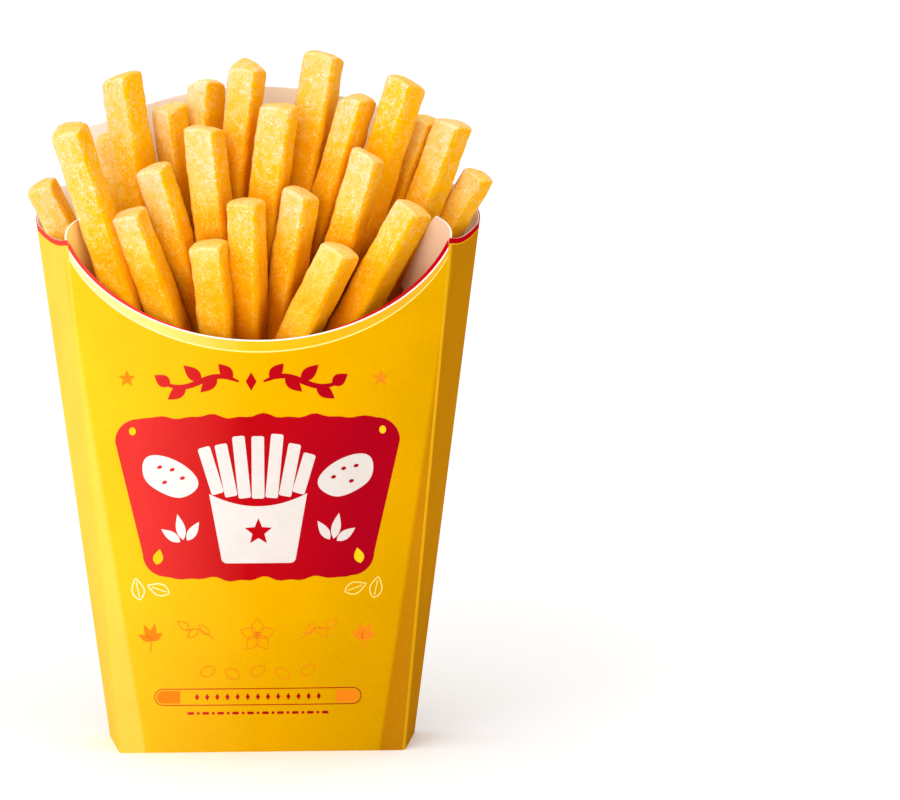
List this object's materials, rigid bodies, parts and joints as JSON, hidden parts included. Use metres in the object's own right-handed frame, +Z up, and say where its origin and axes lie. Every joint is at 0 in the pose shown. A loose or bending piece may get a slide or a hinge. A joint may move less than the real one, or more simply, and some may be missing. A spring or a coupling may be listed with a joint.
{
  "type": "french fries in a carton",
  "caption": "Tapered scoop carton of folded board, low in front with a tall arched back, filled with thick-cut french fries that fan out above its rim.",
  "frame": {"origin": "centre of the carton's flat base", "axes": "+Z up, towards the fries' tips; -Y is the low printed front; +X is to the right seen from the front"},
  "size_m": [0.1291, 0.0492, 0.1955],
  "materials": {
    "printed_board": "satin yellow print on thin white board, with white cut edges and a white inside",
    "fried_potato": "pale golden fried potato, finely blistered crust with a slight oily sheen"
  },
  "bodies": {
    "root": {"carton": "printed_board", "fries": "fried_potato"}
  },
  "joints": []
}
